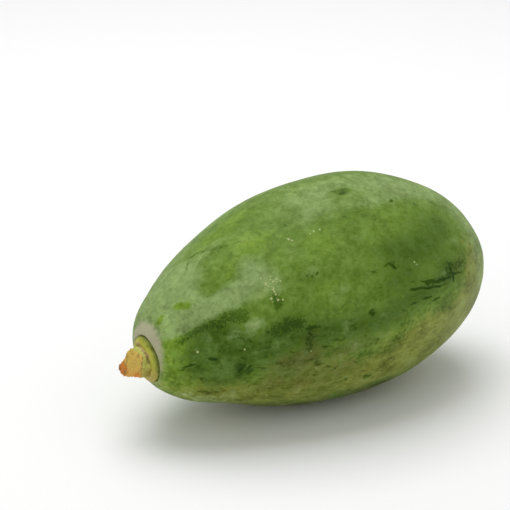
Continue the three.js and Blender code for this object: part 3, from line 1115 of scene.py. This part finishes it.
def stalk_relief_tree():
    """Ridges, lumps and tears away from the foot, and a swelling at it."""
    sizes = {
        "Ridge size": ("Float", 0.0015),
        "Ridge depth": ("Float", 0.0011),
        "Lump size": ("Float", 0.0046),
        "Lump depth": ("Float", 0.0022),
        "Tear size": ("Float", 0.0009),
        "Tear depth": ("Float", 0.0012),
        "Foot swell": ("Float", 0.0015),
        "Seed": ("Vector", (0.31, 0.72, 0.15)),
    }
    tree, given, result = new_tree("stalk_relief", sizes)
    place = core_space(tree, add(tree, "GeometryNodeInputPosition").outputs[0])
    drawn = vector_maths(tree, "ADD", place, given["Seed"])
    apart = add(tree, "ShaderNodeSeparateXYZ", in0=scaled(tree, place, 1 / MM))
    depth = depth_below_break(tree, apart)
    lengthwise = noise_relief(tree, drawn, [(given["Ridge size"], given["Ridge depth"], 9.0)])
    lumps = noise_relief(tree, drawn, [(given["Lump size"], given["Lump depth"], 1.0)])
    torn = noise_relief(tree, drawn, [(given["Tear size"], given["Tear depth"], 3.0)])
    on_face = fade(tree, depth, *FACE_DEPTH)
    off_foot = fade(tree, apart.outputs[0], *RELIEF_ALONG)
    height = total(tree, lengthwise, lumps, maths(tree, "MULTIPLY", torn, on_face))
    height = maths(tree, "MULTIPLY", height, off_foot)
    unevenly = fade(tree, noise(tree, place, 1 / SWELL_UNEVENNESS), 0.25, 0.5)
    at_foot = maths(tree, "MULTIPLY", fade(tree, apart.outputs[0], *SWELL_ALONG), given["Foot swell"])
    height = maths(tree, "ADD", height, maths(tree, "MULTIPLY", at_foot, unevenly))
    normal = add(tree, "GeometryNodeInputNormal").outputs[0]
    moved = add(tree, "GeometryNodeSetPosition", in0=given["Geometry"], in3=scaled(tree, normal, height))
    end_tree(tree, moved.outputs[0], given["Finish"], result)
    return tree


smooth_stalk = fine_copy("stalk", "smooth_stalk", crease=0.7)
stalk_finish, stalk_nodes, stalk_surface = new_material("torn_papaya_stalk")
stalk_stub = grow(smooth_stalk, stalk_relief_tree(), "stalk_stub", stalk_finish)
bpy.data.objects.remove(smooth_stalk)

# %% [markdown]
# ## The stalk's finish
# The neck is pale green. The calyx round it is yellow green, pink on top in its crease and tan
# below, with a painted shade on its edge where its foot sits in the basin. The torn face is
# golden, with orange low down and most of it at the corners, and a thin brown rim of bark.
# Painting it by hand would need an image, so each colour is placed by where it starts along,
# across or above the core, and a blotchy noise keeps its edge from being straight.

# %% The neck and the calyx
NECK_GREEN = colour(176, 178, 84)
CALYX = colour(172, 172, 60)
# painted shade on the calyx, where its foot sits in the basin
CALYX_EDGE_SHADE = colour(112, 122, 40)
CALYX_TAN = colour(170, 148, 76)
CREASE_PINK = colour(168, 132, 104)
# millimetres along the core or above it, where a colour starts and is whole
PINK_ALONG = (-119.2, -118.2)
PINK_ABOVE = (-3.0, 7.0)
CALYX_ALONG = (-117.8, -117.2)
EDGE_SHADE_ALONG = (-117.2, -114.8)
TAN_ALONG = (-115.0, -116.2)
TAN_ABOVE = (2.0, -6.0)

tree = stalk_nodes
place = fruit_mm(tree)
apart = add(tree, "ShaderNodeSeparateXYZ", in0=place)
x_mm, y_mm, z_mm = apart.outputs
drawn_out = vector_maths(tree, "MULTIPLY", place, (0.15, 1, 1))
grain = noise(tree, drawn_out, 1 / 0.9, detail=3.0, roughness=0.6)
blotches = noise(tree, place, 1 / 3.5, detail=3.0)
specks = noise(tree, place, 1 / 0.5, detail=2.0)


def uneven(tree, value, amount):
    """A value pushed about by the blotches."""
    return maths(tree, "ADD", value, swing(tree, blotches, amount))


creased = fade(tree, uneven(tree, x_mm, 1.5), *PINK_ALONG)
creased = maths(tree, "MULTIPLY", creased, fade(tree, z_mm, *PINK_ABOVE))
stalk_colour = layered(tree, NECK_GREEN, CREASE_PINK, maths(tree, "MULTIPLY", creased, 0.7))
stalk_colour = layered(tree, stalk_colour, CALYX, fade(tree, uneven(tree, x_mm, 1.0), *CALYX_ALONG))
# painted shade on the calyx's edge towards the fruit, where it meets the basin
stalk_colour = layered(tree, stalk_colour, CALYX_EDGE_SHADE, fade(tree, uneven(tree, x_mm, 2.0), *EDGE_SHADE_ALONG))
tanned = fade(tree, uneven(tree, x_mm, 1.0), *TAN_ALONG)
tanned = maths(tree, "MULTIPLY", fade(tree, z_mm, *TAN_ABOVE), tanned)
stalk_colour = layered(tree, stalk_colour, CALYX_TAN, maths(tree, "MULTIPLY", tanned, 0.7))
print("the stalk's shader has", len(tree.nodes), "nodes with its neck")

# %% The torn face
TORN_GOLD = colour(210, 178, 84)
TORN_ORANGE = colour(212, 130, 48)
BARK_BROWN = colour(120, 84, 44)
# millimetres above or across the core, where a colour of the face starts and is whole
ORANGE_ABOVE = (-2.0, -6.0)
# what is added to the height for each millimetre towards +Y, so that the orange reaches higher
ORANGE_RISE = -0.8
CORNERS_ACROSS = (1.0, 5.0)
BARK_ACROSS = (6.0, 7.6)
# the middle of a fold in the face, and how far from it the fold's brown fades
FOLD_ACROSS = 3.4
FOLD_FADE = (0.9, 0.1)
# where the face itself starts and is whole: below the break, from the core and across it
TORN_DEPTH = (1.1, 0.4)
TORN_RADIUS = (7.0, 5.5)
TORN_ACROSS = (-7.8, -6.6)

left_of_core = maths(tree, "MULTIPLY", maths(tree, "MAXIMUM", y_mm, 0.0), ORANGE_RISE)
low = fade(tree, uneven(tree, maths(tree, "ADD", z_mm, left_of_core), 3.0), *ORANGE_ABOVE)
at_corners = fade(tree, maths(tree, "ABSOLUTE", uneven(tree, y_mm, 2.0)), *CORNERS_ACROSS)
orange = maths(tree, "MULTIPLY", low, mixed(tree, 0.4, 1.0, at_corners))
torn_colour = layered(tree, TORN_GOLD, TORN_ORANGE, orange)
barky = maths(tree, "MULTIPLY", fade(tree, y_mm, *BARK_ACROSS), 0.7)
torn_colour = layered(tree, torn_colour, BARK_BROWN, barky)
from_fold = maths(tree, "ABSOLUTE", maths(tree, "SUBTRACT", uneven(tree, y_mm, 1.6), FOLD_ACROSS))
folded = maths(tree, "MULTIPLY", fade(tree, from_fold, *FOLD_FADE), 0.4)
torn_colour = layered(tree, torn_colour, BARK_BROWN, folded)

depth = depth_below_break(tree, apart)
torn = fade(tree, maths(tree, "ADD", depth, swing(tree, grain, 0.9)), *TORN_DEPTH)
torn = maths(tree, "MAXIMUM", torn, fade(tree, off_core(tree, place), *TORN_RADIUS))
torn = maths(tree, "MULTIPLY", torn, fade(tree, uneven(tree, y_mm, 1.5), *TORN_ACROSS))
stalk_colour = layered(tree, stalk_colour, torn_colour, torn)
rim = maths(tree, "MULTIPLY", maths(tree, "MULTIPLY", torn, maths(tree, "SUBTRACT", 1.0, torn)), 2.0)
stalk_colour = layered(tree, stalk_colour, BARK_BROWN, rim)
lighter = total(tree, swing(tree, grain, 0.7), swing(tree, specks, 0.3), swing(tree, blotches, 0.5))
stalk_colour = scaled(tree, stalk_colour, maths(tree, "ADD", lighter, 1.0))
feed(tree, stalk_surface.inputs["Base Color"], stalk_colour)
stalk_surface.inputs["Roughness"].default_value = 0.62
stalk_surface.inputs["Specular IOR Level"].default_value = 0.3
print("the stalk's shader has", len(tree.nodes), "nodes in all")

# %% [markdown]
# ## Torn fibres
# The break is ragged: short ends of fibre stand up out of it. They are thin cones, scattered
# over the face by the same tree as the latex, and leaning every way.

# %% Fibres on the torn face
FIBRES_REACH = 0.6

stub_x, stub_y, stub_z = vertex_places(stalk_stub.data).T
slope = BREAK_TILT * (stub_y * math.cos(BREAK_SHORT_SIDE) + stub_z * math.sin(BREAK_SHORT_SIDE))
below_break = stub_x - slope - BREAK_MIDDLE
keep(stalk_stub, "torn", (below_break < FIBRES_REACH) * 1.0)

fibre_sizes = {
    "Most per square metre": ("Float", 450000.0),
    "Smallest": ("Float", 0.00006),
    "Largest": ("Float", 0.00014),
    "Height share": ("Float", 9.0),
    "Lean": ("Float", 0.5),
    "Seed": ("Int", 9),
}
fibre_finish, _, fibre_surface = new_material("torn_fibre")
fibre_surface.inputs["Base Color"].default_value = colour(208, 174, 92)
fibre_surface.inputs["Roughness"].default_value = 0.7
fibre_tree = scatter_tree("fibres", "torn", fibre_sizes, thorn)
stalk_fibres = grow(stalk_stub, fibre_tree, "stalk_fibres", fibre_finish)

# %% [markdown]
# ## What each piece stands for
# The fruit and its stalk are one rigid body in the imported model, so all four pieces ride on it.
# The skin and the stub each stand in for their solid. The beads and fibres are additions.

# %% Bodies and solids
for piece, node, slot in ((skin, "fruit", "fruit_skin"), (stalk_stub, "stalk", "stalk")):
    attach(piece, "root")
    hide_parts(node)
for piece, slot in ((latex_specks, "fruit_skin"), (stalk_fibres, "stalk")):
    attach(piece, "root")
